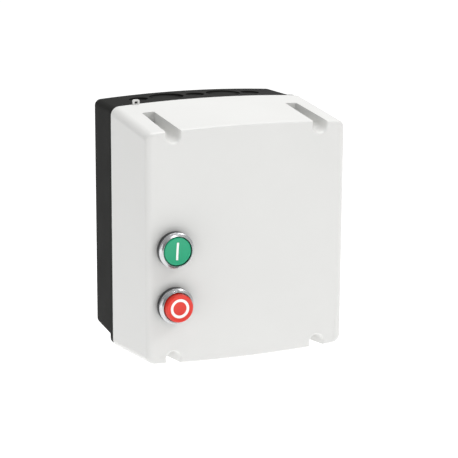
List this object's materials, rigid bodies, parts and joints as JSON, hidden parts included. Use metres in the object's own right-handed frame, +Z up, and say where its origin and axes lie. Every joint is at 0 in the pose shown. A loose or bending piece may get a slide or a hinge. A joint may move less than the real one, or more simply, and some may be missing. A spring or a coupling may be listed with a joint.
{
  "type": "enclosed motor starter",
  "caption": "Wall-mounted motor starter and protection enclosure: crowned light-grey cover with flush start and extended stop buttons, black base, contactor and overload relay inside.",
  "frame": {"origin": "middle of the flat wall face at the back of the base", "axes": "+X to the right seen from the front, +Y into the wall, +Z up; the buttons face -Y"},
  "size_m": [0.1764, 0.1551, 0.2173],
  "materials": {
    "cover_plastic": "fine moulded texture, light grey",
    "base_plastic": "fine moulded texture, near black",
    "gasket_rubber": "soft black",
    "chrome_bezel": "bright plated",
    "green_plastic": "satin moulded",
    "red_plastic": "satin moulded",
    "white_plastic": "satin moulded",
    "black_plastic": "moulded",
    "zinc_steel": "zinc plated",
    "copper": "copper strip and enamelled wire",
    "brass": "drawn bar",
    "device_dark": "glass-filled moulding",
    "device_light": "glass-filled moulding",
    "laminated_iron": "stacked laminations",
    "blue_plastic": "satin moulded"
  },
  "bodies": {
    "base": {"base_tray": "base_plastic", "rim_gasket": "gasket_rubber", "din_rail": "zinc_steel", "rail_screw_left": "zinc_steel", "rail_screw_right": "zinc_steel", "earth_bar": "brass", "earth_screw_left": "zinc_steel", "earth_screw_right": "zinc_steel", "contactor_lower_housing": "device_dark", "contactor_upper_housing": "device_light", "magnet_core": "laminated_iron", "coil_bobbin": "black_plastic", "coil_winding": "copper", "armature_spring": "zinc_steel", "line_contact_1": "copper", "load_contact_1": "copper", "line_screw_1": "zinc_steel", "load_screw_1": "zinc_steel", "line_contact_2": "copper", "load_contact_2": "copper", "line_screw_2": "zinc_steel", "load_screw_2": "zinc_steel", "line_contact_3": "copper", "load_contact_3": "copper", "line_screw_3": "zinc_steel", "load_screw_3": "zinc_steel", "start_contact_block": "device_dark", "relay_housing": "device_dark", "relay_back_plate": "device_dark", "relay_prong_1": "copper", "relay_prong_2": "copper", "relay_prong_3": "copper"},
    "cover": {"cover_shell": "cover_plastic", "cover_screw_top_left": "zinc_steel", "cover_screw_top_right": "zinc_steel", "cover_screw_bottom_left": "zinc_steel", "cover_screw_bottom_right": "zinc_steel", "start_bezel": "chrome_bezel", "start_seal": "gasket_rubber", "start_lock_nut": "black_plastic", "start_spring": "zinc_steel", "stop_bezel": "chrome_bezel", "stop_seal": "gasket_rubber", "stop_lock_nut": "black_plastic", "stop_spring": "zinc_steel"},
    "start_button": {"start_stem": "black_plastic", "start_cap": "green_plastic", "start_mark": "white_plastic"},
    "stop_button": {"stop_stem": "black_plastic", "stop_cap": "red_plastic", "stop_mark": "white_plastic"},
    "start_plunger_body": {"start_plunger": "black_plastic"},
    "reset_plunger_body": {"relay_reset_plunger": "blue_plastic"},
    "armature_body": {"magnet_armature": "laminated_iron", "contact_carrier": "black_plastic", "moving_bridge_1": "copper", "moving_bridge_2": "copper", "moving_bridge_3": "copper"},
    "dial_body": {"current_dial": "white_plastic"},
    "test_button_body": {"relay_test_button": "red_plastic"}
  },
  "joints": [
    {"name": "cover_lift", "type": "slide", "parent": "base", "child": "cover", "axis": [0, -1, 0], "range_m": [0, 0.15]},
    {"name": "start_press", "type": "slide", "parent": "cover", "child": "start_button", "axis": [0, 1, 0], "range_m": [0, 0.0055], "stiffness_N_per_m": 600, "springref_m": -0.004, "deforming": ["start_spring"]},
    {"name": "stop_press", "type": "slide", "parent": "cover", "child": "stop_button", "axis": [0, 1, 0], "range_m": [0, 0.0055], "stiffness_N_per_m": 600, "springref_m": -0.004, "deforming": ["stop_spring"]},
    {"name": "start_plunger_travel", "type": "slide", "parent": "base", "child": "start_plunger_body", "axis": [0, 1, 0], "range_m": [0, 0.0055], "stiffness_N_per_m": 150, "springref_m": -0.003},
    {"name": "reset_plunger_travel", "type": "slide", "parent": "base", "child": "reset_plunger_body", "axis": [0, 1, 0], "range_m": [0, 0.0055], "stiffness_N_per_m": 150, "springref_m": -0.003},
    {"name": "armature_pull_in", "type": "slide", "parent": "base", "child": "armature_body", "axis": [0, 1, 0], "range_m": [0, 0.0055], "stiffness_N_per_m": 500, "springref_m": -0.005, "deforming": ["armature_spring"]},
    {"name": "test_press", "type": "slide", "parent": "base", "child": "test_button_body", "axis": [0, 1, 0], "range_m": [0, 0.0025], "stiffness_N_per_m": 400, "springref_m": -0.002},
    {"name": "current_setting", "type": "hinge", "parent": "base", "child": "dial_body", "pos_m": [-0.031, -0.095, -0.03], "axis": [0, 1, 0], "range_deg": [-120, 120]}
  ],
  "couplings": [
    {"joint": "start_plunger_travel", "follows": "start_press", "ratio": 1},
    {"joint": "reset_plunger_travel", "follows": "stop_press", "ratio": 1}
  ]
}
